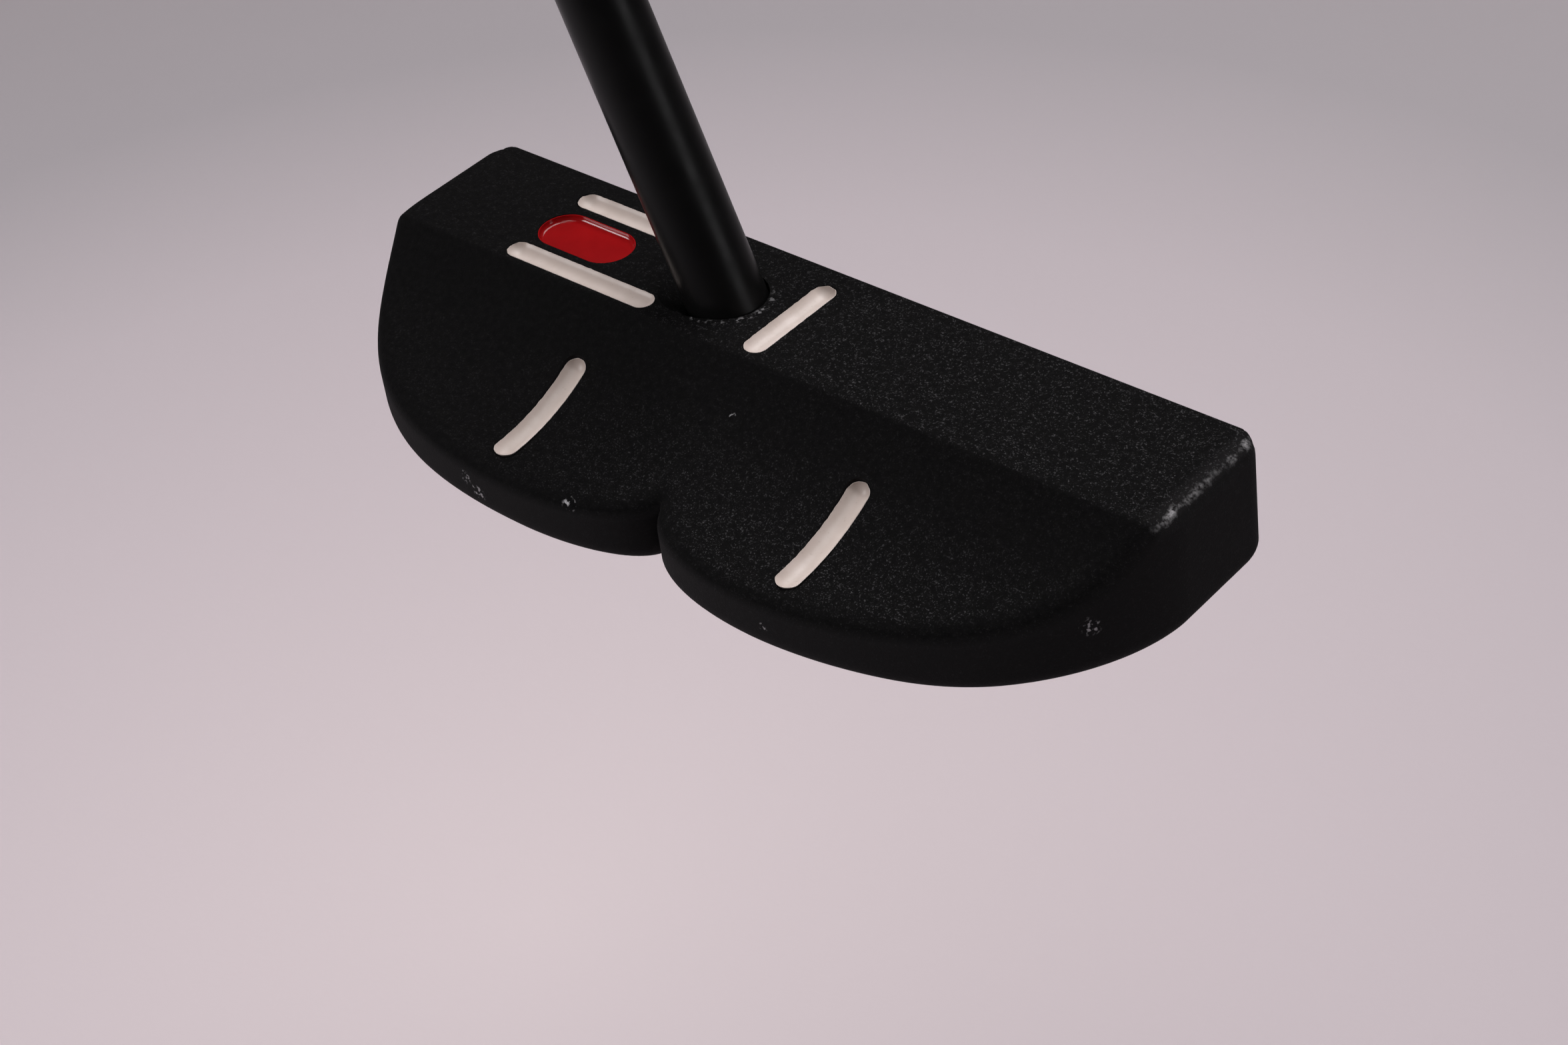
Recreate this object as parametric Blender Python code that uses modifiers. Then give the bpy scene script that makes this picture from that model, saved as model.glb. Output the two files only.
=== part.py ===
"""Mallet putter: two-lobed steel head, centred shaft, rubber grip.

Metres, +Z up.  The origin is on the flat of the sole, below the middle of the head.  +X runs from heel to
toe, +Y is the way the face looks, and the shaft leans towards the heel.  Plan coordinates of the head are
measured from the top front edge of the face (v = 0, negative towards the rear); FACE_Y moves them into place.
"""
import math

import bmesh
import bpy
from mathutils import Matrix, Vector

# Head, seen from above
HEAD_LENGTH = 0.1128
HEAD_DEPTH = 0.0413
HEAD_HEIGHT = 0.0188
FACE_Y = 0.020
BAND_DEPTH = 0.0187
CORNER_RADIUS = 0.0031
LOBE_X = 0.0175
LOBE_START = 0.0142
TOE_FULLNESS = 1.8
HEEL_FULLNESS = 2.15
NOTCH_RISE = 0.0080
NOTCH_WIDTH = 0.01775

# Head, seen from the side
SCOOP_RADIUS = 0.0258
SCOOP_FLOOR = 0.0099
FACE_EDGE_RADIUS = 0.0006
END_EDGE_RADIUS = 0.0020
RIM_RADIUS = 0.0024
RIM_BLEND = 0.006
SOLE_EDGE_RADIUS = 0.0029
SOLE_FLAT = 0.034
SOLE_CAMBER = 0.0024
REAR_FLAT = -0.031
REAR_CAMBER = 0.0014
LOFT = math.radians(3.5)

# Shaft and grip, measured along the shaft's axis from the top of the head
LIE = math.radians(70)
SHAFT_X = -0.0097
SHAFT_V = -0.0106
CLUB_LENGTH = 34 * 0.0254
TIP_RADIUS = 0.00472
BUTT_RADIUS = 0.0076
SHAFT_WALL = 0.0005
TAPER_START = 0.230
TAPER_END = 0.600
BORE_DEPTH = 0.0150
BORE_RADIUS = TIP_RADIUS + 0.0003
PLUG_LENGTH = 0.010
PLUG_CHAMFER = 0.0008
GRIP_LENGTH = 0.267
CAP_RADIUS = 0.0092
CAP_THICKNESS = 0.003
CAP_CHAMFER = 0.0005
VENT_RADIUS = 0.0012
TAPE_THICKNESS = 0.00025
TAPE_SETBACK = 0.004
GRIP_END_ROLL = 0.0012

# Sight marks
LINE_WIDTH = 0.0033
LINE_DEPTH = 0.0011
PAINT_DROP = 0.00045
FRONT_LINE_V = -0.00455
REAR_LINE_V = -0.0166
LINE_HEEL_END = -0.0386
LINE_TOE_END = -0.0153
AIM_LINE_ENDS = (-0.0180, -0.0028)
LOBE_LINE_X = 0.02107
LOBE_LINE_ENDS = (-0.0388, -0.0238)
DOT_CENTRE = (-0.0315, -0.01065)
DOT_LENGTH = 0.0136
DOT_WIDTH = 0.0069
DOT_DEPTH = 0.0011

# Sole plate, screws and weights
PLATE_HALF_LENGTH = 0.0325
PLATE_V = (-0.0305, -0.0045)
PLATE_THICKNESS = 0.0022
PLATE_CORNER = 0.006
FILM_THICKNESS = 0.00025
CAVITY_EDGE = 0.0028
CAVITY_CORNER = 0.003
CAVITY_TOP = 0.0092
BAND_CAVITY_TOP = 0.0160
BAND_CAVITY_CORNER = 0.002
TOE_CAVITY_X = (0.0045, 0.0225)
HEEL_CAVITY_X = (-0.0225, -0.0165)
SHAFT_BOSS_X = (-0.0135, 0.0030)
SHAFT_BOSS_Y = (0.0024, 0.0165)
BOSS_RADIUS = 0.0045
SCREW_X = 0.0275
SCREW_V = (-0.0262, -0.0088)
SCREW_RADIUS = 0.0015
SCREW_HEAD_RADIUS = 0.0028
SCREW_LENGTH = 0.0065
SCREW_HEAD_LOW = 0.0002
SCREW_TIP_CHAMFER = 0.0005
SOCKET_RADIUS = 0.0009
SOCKET_DEPTH = 0.0013
WEIGHT_X = 0.0440
WEIGHT_V = -0.0150
WEIGHT_RADIUS = 0.0070
WEIGHT_HEAD = 0.0030
WEIGHT_STUD_RADIUS = 0.0040
WEIGHT_STUD = 0.0055
WEIGHT_LOW = 0.0004
WEIGHT_CHAMFER = 0.0004
WEIGHT_SOCKET_RADIUS = 0.0020
WEIGHT_SOCKET_DEPTH = 0.0018

# Fits: a glued or painted joint, a loose one, and the room left at the end of a screw
FINE_GAP = 0.00008
GAP = 0.0002
END_ROOM = 0.0006
CUT = 0.002
ROUND_STEPS = 32

PARTS = bpy.data.collections.new("mallet_putter")
CUTTERS = bpy.data.collections.new("cutters")


def finish(name, colour, roughness, metallic):
    """A Principled material in one colour."""
    material = bpy.data.materials.new(name)
    material.use_nodes = True
    shader = material.node_tree.nodes["Principled BSDF"]
    shader.inputs["Base Color"].default_value = (*colour, 1)
    shader.inputs["Roughness"].default_value = roughness
    shader.inputs["Metallic"].default_value = metallic
    return material


def add_object(name, mesh, collection, material=None):
    """An object for a mesh, shaded smooth up to its sharp edges."""
    piece = bpy.data.objects.new(name, mesh)
    collection.objects.link(piece)
    if material is not None:
        mesh.materials.append(material)
    mesh.shade_smooth()
    mesh.set_sharp_from_angle(angle=math.radians(35))
    return piece


def from_bmesh(name, bm, material=None):
    """A part when it has a material, and otherwise a cutter."""
    bmesh.ops.recalc_face_normals(bm, faces=bm.faces)
    mesh = bpy.data.meshes.new(name)
    bm.to_mesh(mesh)
    bm.free()
    piece = add_object(name, mesh, PARTS if material else CUTTERS, material)
    if material is None:
        piece.hide_render = True
        piece.display_type = "WIRE"
    return piece


def turned(name, profile, material=None, closed=False, steps=ROUND_STEPS):
    """A profile of (radius, height) points turned about Z by a Screw modifier."""
    count = len(profile)
    edges = [(i, i + 1) for i in range(count - 1)]
    if closed:
        edges.append((count - 1, 0))
    mesh = bpy.data.meshes.new(name)
    mesh.from_pydata([(radius, 0, height) for radius, height in profile], edges, [])
    piece = add_object(name, mesh, PARTS if material else CUTTERS, material)
    if material is None:
        piece.hide_render = True
        piece.display_type = "WIRE"
    screw = piece.modifiers.new("turn", "SCREW")
    screw.angle = math.tau
    screw.steps = steps
    screw.render_steps = steps
    screw.use_merge_vertices = True
    screw.merge_threshold = 0.000001
    screw.use_smooth_shade = True
    return piece


def cut(piece, *cutters, operation="DIFFERENCE"):
    """A Boolean modifier for each cutter."""
    for cutter in cutters:
        boolean = piece.modifiers.new(cutter.name, "BOOLEAN")
        boolean.operation = operation
        boolean.object = cutter


def prism(name, outline, low, high, material=None):
    """A flat outline of (x, y) points between two heights."""
    curve = bpy.data.curves.new(name, "CURVE")
    curve.dimensions = "2D"
    curve.fill_mode = "BOTH"
    curve.extrude = (high - low) / 2
    spline = curve.splines.new("POLY")
    spline.points.add(len(outline) - 1)
    for point, (x, y) in zip(spline.points, outline):
        point.co = (x, y, 0, 1)
    spline.use_cyclic_u = True
    source = bpy.data.objects.new(name + "_outline", curve)
    CUTTERS.objects.link(source)
    graph = bpy.context.evaluated_depsgraph_get()
    bm = bmesh.new()
    bm.from_mesh(bpy.data.meshes.new_from_object(source.evaluated_get(graph)))
    bpy.data.objects.remove(source)
    bmesh.ops.remove_doubles(bm, verts=bm.verts, dist=0.000001)
    bmesh.ops.translate(bm, verts=bm.verts, vec=(0, 0, (low + high) / 2))
    return from_bmesh(name, bm, material)


def arc(centre, radii, start, end, steps):
    """Points along an elliptical arc, angles in degrees."""
    angles = [math.radians(start + (end - start) * i / steps) for i in range(steps + 1)]
    return [(centre[0] + radii[0] * math.cos(a), centre[1] + radii[1] * math.sin(a)) for a in angles]


def rounded_box(x_range, y_range, radius, steps=4):
    """A rectangle with round corners, anticlockwise."""
    corners = [
        (x_range[1] - radius, y_range[0] + radius, -90),
        (x_range[1] - radius, y_range[1] - radius, 0),
        (x_range[0] + radius, y_range[1] - radius, 90),
        (x_range[0] + radius, y_range[0] + radius, 180),
    ]
    points = []
    for x, y, start in corners:
        points += arc((x, y), (radius, radius), start, start + 90, steps)
    return points


def stadium(centre, length, width, steps=10):
    """A slot with full round ends, along X."""
    radius = width / 2
    reach = length / 2 - radius
    toe_end = arc((centre[0] + reach, centre[1]), (radius, radius), -90, 90, steps)
    heel_end = arc((centre[0] - reach, centre[1]), (radius, radius), 90, 270, steps)
    return toe_end + heel_end


def along_shaft(*pieces):
    """Stand pieces on the shaft's axis, their Z running up it from the top of the head."""
    for piece in pieces:
        piece.parent = SHAFT_AXIS


# ---------------------------------------------------------------- head

def lobe_side(fullness):
    """Half the head from above, anticlockwise on the toe side, from the notch to the front edge."""
    half = HEAD_LENGTH / 2
    rear = -HEAD_DEPTH
    notch_angle = math.degrees(math.acos(LOBE_X / NOTCH_WIDTH))
    inner = arc((LOBE_X, rear + NOTCH_RISE), (NOTCH_WIDTH, NOTCH_RISE), 180 + notch_angle, 270, 7)
    outer = []
    for x, v in arc((0, 0), (1, 1), 270, 360, 16):
        reach = (half - LOBE_X) * x ** (2 / fullness)
        outer.append((LOBE_X + reach, -LOBE_START - (HEAD_DEPTH - LOBE_START) * abs(v) ** (2 / fullness)))
    corner_centre = (half - CORNER_RADIUS, -CORNER_RADIUS)
    corner = arc(corner_centre, (CORNER_RADIUS, CORNER_RADIUS), 0, 90, 4)
    return inner + outer[1:] + corner


def head_outline():
    """The head from above, anticlockwise from the notch between the lobes."""
    toe_half = lobe_side(TOE_FULLNESS)
    heel_half = [(-x, v) for x, v in reversed(lobe_side(HEEL_FULLNESS)[1:])]
    return [(0, toe_half[0][1])] + toe_half[1:] + heel_half


def nearest_side(x, v, outline):
    """How far a plan point is inside the outline, and how much the side nearest to it faces forward."""
    nearest = math.inf
    forward = 0
    point = Vector((x, v))
    for i, start in enumerate(outline):
        a = Vector(start)
        b = Vector(outline[(i + 1) % len(outline)])
        along = b - a
        share = max(0, min(1, (point - a).dot(along) / along.length_squared))
        distance = (point - a - along * share).length
        if distance < nearest:
            nearest = distance
            forward = max(0, -along.x / along.length)
    return nearest, forward


def rolled(distance, radius):
    """The drop of a rounded edge at a distance in from it."""
    if distance >= radius:
        return 0
    return radius - math.sqrt(radius ** 2 - (radius - distance) ** 2)


def top_height(v):
    """Flat band, then the scoop: an arc that starts at the band's rear edge."""
    if v >= -BAND_DEPTH:
        return HEAD_HEIGHT
    rise = SCOOP_RADIUS - SCOOP_FLOOR
    centre_v = -BAND_DEPTH - math.sqrt(SCOOP_RADIUS ** 2 - rise ** 2)
    return HEAD_HEIGHT + rise - math.sqrt(SCOOP_RADIUS ** 2 - (v - centre_v) ** 2)


def rim_radius(v, forward):
    """The top edge is crisp along the face, round at heel and toe, and fullest on the lobes."""
    share = max(0, min(1, (-BAND_DEPTH - v) / RIM_BLEND))
    round_edge = END_EDGE_RADIUS + (RIM_RADIUS - END_EDGE_RADIUS) * share
    return round_edge + (FACE_EDGE_RADIUS - round_edge) * forward ** 6


def sole_height(x, v):
    """Flat in the middle, rising towards heel, toe and rear."""
    ends = max(0, abs(x) - SOLE_FLAT) / (HEAD_LENGTH / 2 - SOLE_FLAT)
    rear = max(0, REAR_FLAT - v) / (REAR_FLAT + HEAD_DEPTH)
    return SOLE_CAMBER * ends ** 2 + REAR_CAMBER * rear ** 2


def head_blank():
    """The head before anything is cut into it: an extruded outline with rolled edges, scoop and camber."""
    outline = head_outline()
    bm = bmesh.new()
    top = bm.faces.new([bm.verts.new((x, v, HEAD_HEIGHT)) for x, v in outline])
    drop = bmesh.ops.extrude_face_region(bm, geom=[top], use_keep_orig=True)["geom"]
    lowered = [item for item in drop if isinstance(item, bmesh.types.BMVert)]
    bmesh.ops.translate(bm, verts=lowered, vec=(0, 0, -HEAD_HEIGHT))
    bmesh.ops.recalc_face_normals(bm, faces=bm.faces)
    for face in [f for f in bm.faces if abs(f.normal.z) > 0.5]:
        done = 0
        for inset in (0.0002, 0.0006, 0.0013, END_EDGE_RADIUS, SOLE_EDGE_RADIUS):
            bmesh.ops.inset_region(bm, faces=[face], thickness=inset - done, use_even_offset=True)
            done = inset
    scoop_steps = 14
    scoop_length = HEAD_DEPTH - BAND_DEPTH
    planes = [((0, -BAND_DEPTH - scoop_length * i / scoop_steps, 0), (0, 1, 0)) for i in range(scoop_steps)]
    camber_steps = 5
    camber_length = HEAD_LENGTH / 2 - SOLE_FLAT
    for i in range(camber_steps):
        x = SOLE_FLAT + camber_length * i / camber_steps
        planes += [((x, 0, 0), (1, 0, 0)), ((-x, 0, 0), (1, 0, 0))]
    for point, normal in planes:
        everything = bm.verts[:] + bm.edges[:] + bm.faces[:]
        bmesh.ops.bisect_plane(bm, geom=everything, plane_co=point, plane_no=normal, dist=0.000001)
    for vertex in bm.verts:
        x, v, z = vertex.co
        distance, forward = nearest_side(x, v, outline)
        if z > HEAD_HEIGHT / 2:
            vertex.co.z = top_height(v) - rolled(distance, rim_radius(v, forward))
        else:
            vertex.co.z = sole_height(x, v) + rolled(distance, SOLE_EDGE_RADIUS)
        near_face = max(0, 1 + v / CORNER_RADIUS)
        vertex.co.y = v + FACE_Y + near_face * (HEAD_HEIGHT - vertex.co.z) * math.tan(LOFT)
    bmesh.ops.triangulate(bm, faces=bm.faces)
    return bm


def ball_slot(length, radius, lift, stations, level=None):
    """A ball-ended slot along Y whose axis is lift above the surface, cut off at a level for its paint."""
    rings = 9
    bm = bmesh.new()
    end_radius = radius / math.sin(math.pi * (rings // 2) / rings)
    bmesh.ops.create_uvsphere(bm, u_segments=16, v_segments=rings, radius=end_radius)
    bmesh.ops.rotate(bm, verts=bm.verts, matrix=Matrix.Rotation(math.pi / 2, 3, "X"))
    long_edges = [e for e in bm.edges if e.verts[0].co.y * e.verts[1].co.y < 0]
    for vertex in bm.verts:
        vertex.co.y += math.copysign(length / 2 - end_radius, vertex.co.y)
    if stations > 1:
        bmesh.ops.subdivide_edges(bm, edges=long_edges, cuts=stations - 1)
    bmesh.ops.translate(bm, verts=bm.verts, vec=(0, 0, lift))
    if level is None:
        return bm
    heights = sorted({round(vertex.co.y, 7) for vertex in bm.verts})
    everything = bm.verts[:] + bm.edges[:] + bm.faces[:]
    bmesh.ops.bisect_plane(
        bm, geom=everything, plane_co=(0, 0, level), plane_no=(0, 0, 1), dist=0.0000001, clear_outer=True
    )
    bmesh.ops.holes_fill(bm, edges=[e for e in bm.edges if e.is_boundary], sides=0)
    for height in heights[2:-2]:
        everything = bm.verts[:] + bm.edges[:] + bm.faces[:]
        bmesh.ops.bisect_plane(
            bm, geom=everything, plane_co=(0, height, 0), plane_no=(0, 1, 0), dist=0.0000001
        )
    bmesh.ops.triangulate(bm, faces=bm.faces)
    return bm


def slot_ball():
    """The ball cutter's radius, and how high its centre runs above the surface."""
    radius = ((LINE_WIDTH / 2) ** 2 + LINE_DEPTH ** 2) / (2 * LINE_DEPTH)
    return radius, radius - LINE_DEPTH


def flat_line(name, centre, length, turn, material):
    """A straight line on the band: its slot as a cutter, and the paint in it."""
    radius, lift = slot_ball()
    slot = ball_slot(length, radius, lift, 1)
    paint = ball_slot(length - 2 * FINE_GAP, radius - FINE_GAP, lift, 1, -PAINT_DROP)
    place = Matrix.Translation((centre[0], centre[1] + FACE_Y, HEAD_HEIGHT)) @ Matrix.Rotation(turn, 4, "Z")
    for bm in (slot, paint):
        bmesh.ops.transform(bm, matrix=place, verts=bm.verts)
    return from_bmesh(name + "_slot", slot), from_bmesh(name, paint, material)


def lobe_line(name, x, material):
    """A line that runs down the scoop, bent round the scoop's own axis."""
    radius, lift = slot_ball()
    rise = SCOOP_RADIUS - SCOOP_FLOOR
    axis_v = -BAND_DEPTH - math.sqrt(SCOOP_RADIUS ** 2 - rise ** 2)
    start, end = [math.asin((v - axis_v) / SCOOP_RADIUS) for v in LOBE_LINE_ENDS]
    length = (end - start) * SCOOP_RADIUS
    slot = ball_slot(length, radius, lift, 8)
    paint = ball_slot(length - 2 * FINE_GAP, radius - FINE_GAP, lift, 8, -PAINT_DROP)
    for bm in (slot, paint):
        for vertex in bm.verts:
            angle = (start + end) / 2 + vertex.co.y / SCOOP_RADIUS
            reach = SCOOP_RADIUS - vertex.co.z
            vertex.co.x += x
            vertex.co.y = FACE_Y + axis_v + reach * math.sin(angle)
            vertex.co.z = HEAD_HEIGHT + rise - reach * math.cos(angle)
    return from_bmesh(name + "_slot", slot), from_bmesh(name, paint, material)


def on_sole(x, v, *pieces):
    """Place turned pieces at a plan point, their zero height on the sole."""
    for piece in pieces:
        piece.location = (x, v + FACE_Y, sole_height(x, v))


# ---------------------------------------------------------------- shaft and grip

def shaft_radius(s):
    """Parallel tip, even taper, parallel butt."""
    share = max(0, min(1, (s - TAPER_START) / (TAPER_END - TAPER_START)))
    return TIP_RADIUS + (BUTT_RADIUS - TIP_RADIUS) * share


def grip_section(share):
    """Half width across the face line, half depth, and the flat's distance, up the grip from 0 to 1."""
    width = 0.0104 + 0.0026 * share
    bulge = math.sin(math.pi * min(1, max(0, (share - 0.35) / 0.65)))
    depth = 0.0106 + 0.0034 * share + 0.0008 * bulge
    flat = 0.0094 + 0.0021 * share
    return width, depth, flat


def grip_blank(bottom, top):
    """Round at the back, with a flat for the thumbs on the toe side, widening up the shaft."""
    rings = 18
    bm = bmesh.new()
    bmesh.ops.create_cone(bm, segments=ROUND_STEPS, radius1=1, radius2=1, depth=1, cap_ends=True)
    long_edges = [e for e in bm.edges if abs(e.verts[0].co.z - e.verts[1].co.z) > 0.5]
    bmesh.ops.subdivide_edges(bm, edges=long_edges, cuts=rings - 1)
    for vertex in bm.verts:
        ring = round((vertex.co.z + 0.5) * rings)
        end_roll = GRIP_END_ROLL if ring in (0, rings) else 0
        below = 0 if ring == 0 else GRIP_END_ROLL
        above = 0 if ring == rings else GRIP_END_ROLL
        share = max(0, min(1, (ring - 1) / (rings - 2)))
        width, depth, flat = grip_section(share)
        vertex.co.x = min(vertex.co.x * (depth - end_roll), flat - end_roll)
        vertex.co.y *= width - end_roll
        vertex.co.z = (bottom + below) * (1 - share) + (top - above) * share
    return bm


# ---------------------------------------------------------------- assembly

for leftover in list(bpy.data.objects):
    bpy.data.objects.remove(leftover)
bpy.context.scene.collection.children.link(PARTS)
bpy.context.scene.collection.children.link(CUTTERS)

BLACK_COAT = finish("black_coat", (0.012, 0.012, 0.013), 0.55, 0.3)
BLACK_SHAFT = finish("black_shaft_coat", (0.010, 0.010, 0.011), 0.35, 0.3)
WHITE_PAINT = finish("white_paint", (0.78, 0.75, 0.71), 0.45, 0)
RED_ENAMEL = finish("red_enamel", (0.45, 0.01, 0.012), 0.12, 0)
BLACK_ANODISED = finish("black_anodised", (0.02, 0.02, 0.022), 0.4, 0.8)
STEEL = finish("bare_steel", (0.55, 0.55, 0.56), 0.3, 1)
ADHESIVE = finish("adhesive", (0.05, 0.05, 0.05), 0.5, 0)
RUBBER = finish("grip_rubber", (0.015, 0.015, 0.016), 0.8, 0)
TAPE = finish("grip_tape", (0.6, 0.56, 0.45), 0.8, 0)
CAP_PLASTIC = finish("cap_plastic", (0.02, 0.02, 0.02), 0.5, 0)

SHAFT_AXIS = bpy.data.objects.new("shaft_axis", None)
PARTS.objects.link(SHAFT_AXIS)
SHAFT_AXIS.location = (SHAFT_X, SHAFT_V + FACE_Y, HEAD_HEIGHT)
SHAFT_AXIS.rotation_euler = (0, LIE - math.pi / 2, 0)

# Sight marks, each a slot and its paint
line_length = LINE_TOE_END - LINE_HEEL_END
line_x = (LINE_TOE_END + LINE_HEEL_END) / 2
aim_length = AIM_LINE_ENDS[1] - AIM_LINE_ENDS[0]
aim_v = sum(AIM_LINE_ENDS) / 2
quarter_turn = math.pi / 2
slots = [
    flat_line("sight_line_front", (line_x, FRONT_LINE_V), line_length, quarter_turn, WHITE_PAINT)[0],
    flat_line("sight_line_rear", (line_x, REAR_LINE_V), line_length, quarter_turn, WHITE_PAINT)[0],
    flat_line("aim_line_band", (0, aim_v), aim_length, 0, WHITE_PAINT)[0],
    lobe_line("aim_line_heel_lobe", -LOBE_LINE_X, WHITE_PAINT)[0],
    lobe_line("aim_line_toe_lobe", LOBE_LINE_X, WHITE_PAINT)[0],
]
dot_centre = (DOT_CENTRE[0], DOT_CENTRE[1] + FACE_Y)
dot_floor = HEAD_HEIGHT - DOT_DEPTH
pocket_outline = stadium(dot_centre, DOT_LENGTH, DOT_WIDTH)
dot_pocket = prism("sight_dot_pocket", pocket_outline, dot_floor, HEAD_HEIGHT + CUT)
dot_outline = stadium(dot_centre, DOT_LENGTH - 2 * FINE_GAP, DOT_WIDTH - 2 * FINE_GAP)
prism("sight_dot", dot_outline, dot_floor + FINE_GAP, HEAD_HEIGHT - PAINT_DROP, RED_ENAMEL)

# Head body, hollowed from the sole up
head = from_bmesh("head_body", head_blank(), BLACK_COAT)
plate_v = [v + FACE_Y for v in PLATE_V]
plate_seat = PLATE_THICKNESS + FILM_THICKNESS + 2 * FINE_GAP
recess_x = (-PLATE_HALF_LENGTH - GAP, PLATE_HALF_LENGTH + GAP)
recess_y = (plate_v[0] - GAP, plate_v[1] + GAP)
recess = prism("plate_recess", rounded_box(recess_x, recess_y, PLATE_CORNER + GAP), -CUT, plate_seat)
cavity_x = PLATE_HALF_LENGTH - CAVITY_EDGE
cavity_y = (plate_v[0] + CAVITY_EDGE, plate_v[1] - CAVITY_EDGE)
cavity_outline = rounded_box((-cavity_x, cavity_x), cavity_y, CAVITY_CORNER)
cavity = prism("sole_cavity", cavity_outline, plate_seat - CUT / 2, CAVITY_TOP)
band_cavity_y = (FACE_Y - BAND_DEPTH + CAVITY_EDGE, cavity_y[1])
band_cavities = []
for end, x_range in (("toe", TOE_CAVITY_X), ("heel", HEEL_CAVITY_X)):
    outline = rounded_box(x_range, band_cavity_y, BAND_CAVITY_CORNER)
    band_cavities.append(prism(f"{end}_band_cavity", outline, CAVITY_TOP - CUT, BAND_CAVITY_TOP))
shaft_boss_outline = rounded_box(SHAFT_BOSS_X, SHAFT_BOSS_Y, CAVITY_CORNER)
shaft_boss = prism("shaft_boss", shaft_boss_outline, -CUT, CAVITY_TOP + CUT)
cut(cavity, shaft_boss)
screw_places = [(side * SCREW_X, v) for v in SCREW_V for side in (-1, 1)]
boss_profile = [(0, HEAD_HEIGHT), (BOSS_RADIUS, HEAD_HEIGHT), (BOSS_RADIUS, -CUT), (0, -CUT)]
for number, (x, v) in enumerate(screw_places, 1):
    boss = turned(f"screw_boss_{number}", boss_profile, steps=16)
    boss.location = (x, v + FACE_Y, 0)
    cut(cavity, boss)
bore_profile = [(0, CUT * 3), (BORE_RADIUS, CUT * 3), (BORE_RADIUS, -BORE_DEPTH), (0, -BORE_DEPTH)]
bore = turned("shaft_bore", bore_profile)
along_shaft(bore)
cut(head, *slots, dot_pocket, bore, recess, cavity, *band_cavities)

# Sole plate on its adhesive film, held by four countersunk screws
plate_outline = rounded_box((-PLATE_HALF_LENGTH, PLATE_HALF_LENGTH), plate_v, PLATE_CORNER)
plate = prism("sole_plate", plate_outline, 0, PLATE_THICKNESS, BLACK_ANODISED)
film_low = PLATE_THICKNESS + FINE_GAP
film = prism("sole_bond", plate_outline, film_low, film_low + FILM_THICKNESS, ADHESIVE)
film_window = prism("film_window", cavity_outline, -CUT, plate_seat + CUT)
for number in range(1, 5):
    cut(film_window, bpy.data.objects[f"screw_boss_{number}"])
cut(film_window, shaft_boss)
cut(film, film_window)
sink_top = SCREW_HEAD_LOW + SCREW_HEAD_RADIUS - SCREW_RADIUS
screw_profile = [
    (0, SCREW_LENGTH),
    (SCREW_RADIUS - SCREW_TIP_CHAMFER, SCREW_LENGTH),
    (SCREW_RADIUS, SCREW_LENGTH - SCREW_TIP_CHAMFER),
    (SCREW_RADIUS, sink_top),
    (SCREW_HEAD_RADIUS, SCREW_HEAD_LOW),
    (SOCKET_RADIUS, SCREW_HEAD_LOW),
    (SOCKET_RADIUS, SOCKET_DEPTH),
    (0, SOCKET_DEPTH),
]
hole_profile = [
    (0, SCREW_LENGTH + END_ROOM),
    (SCREW_RADIUS + GAP, SCREW_LENGTH + END_ROOM),
    (SCREW_RADIUS + GAP, sink_top),
    (SCREW_HEAD_RADIUS + GAP, SCREW_HEAD_LOW),
    (SCREW_HEAD_RADIUS + GAP, -CUT),
    (0, -CUT),
]
for number, (x, v) in enumerate(screw_places, 1):
    screw = turned(f"sole_screw_{number}", screw_profile, STEEL, steps=24)
    hole = turned(f"screw_hole_{number}", hole_profile, steps=24)
    on_sole(x, v, screw, hole)
    for drilled in (plate, film, head):
        cut(drilled, hole)

# Screw-in weights in the heel and the toe
weight_top = WEIGHT_LOW + WEIGHT_HEAD
stud_top = weight_top + WEIGHT_STUD
weight_profile = [
    (0, stud_top),
    (WEIGHT_STUD_RADIUS - WEIGHT_CHAMFER, stud_top),
    (WEIGHT_STUD_RADIUS, stud_top - WEIGHT_CHAMFER),
    (WEIGHT_STUD_RADIUS, weight_top),
    (WEIGHT_RADIUS, weight_top),
    (WEIGHT_RADIUS, WEIGHT_LOW + WEIGHT_CHAMFER),
    (WEIGHT_RADIUS - WEIGHT_CHAMFER, WEIGHT_LOW),
    (WEIGHT_SOCKET_RADIUS, WEIGHT_LOW),
    (WEIGHT_SOCKET_RADIUS, WEIGHT_LOW + WEIGHT_SOCKET_DEPTH),
    (0, WEIGHT_LOW + WEIGHT_SOCKET_DEPTH),
]
seat_profile = [
    (0, stud_top + END_ROOM),
    (WEIGHT_STUD_RADIUS + GAP, stud_top + END_ROOM),
    (WEIGHT_STUD_RADIUS + GAP, weight_top + FINE_GAP),
    (WEIGHT_RADIUS + GAP, weight_top + FINE_GAP),
    (WEIGHT_RADIUS + GAP, -CUT),
    (0, -CUT),
]
for side, end in ((-1, "heel"), (1, "toe")):
    weight = turned(f"sole_weight_{end}", weight_profile, STEEL)
    seat = turned(f"weight_seat_{end}", seat_profile)
    on_sole(side * WEIGHT_X, WEIGHT_V, weight, seat)
    cut(head, seat)

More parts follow.
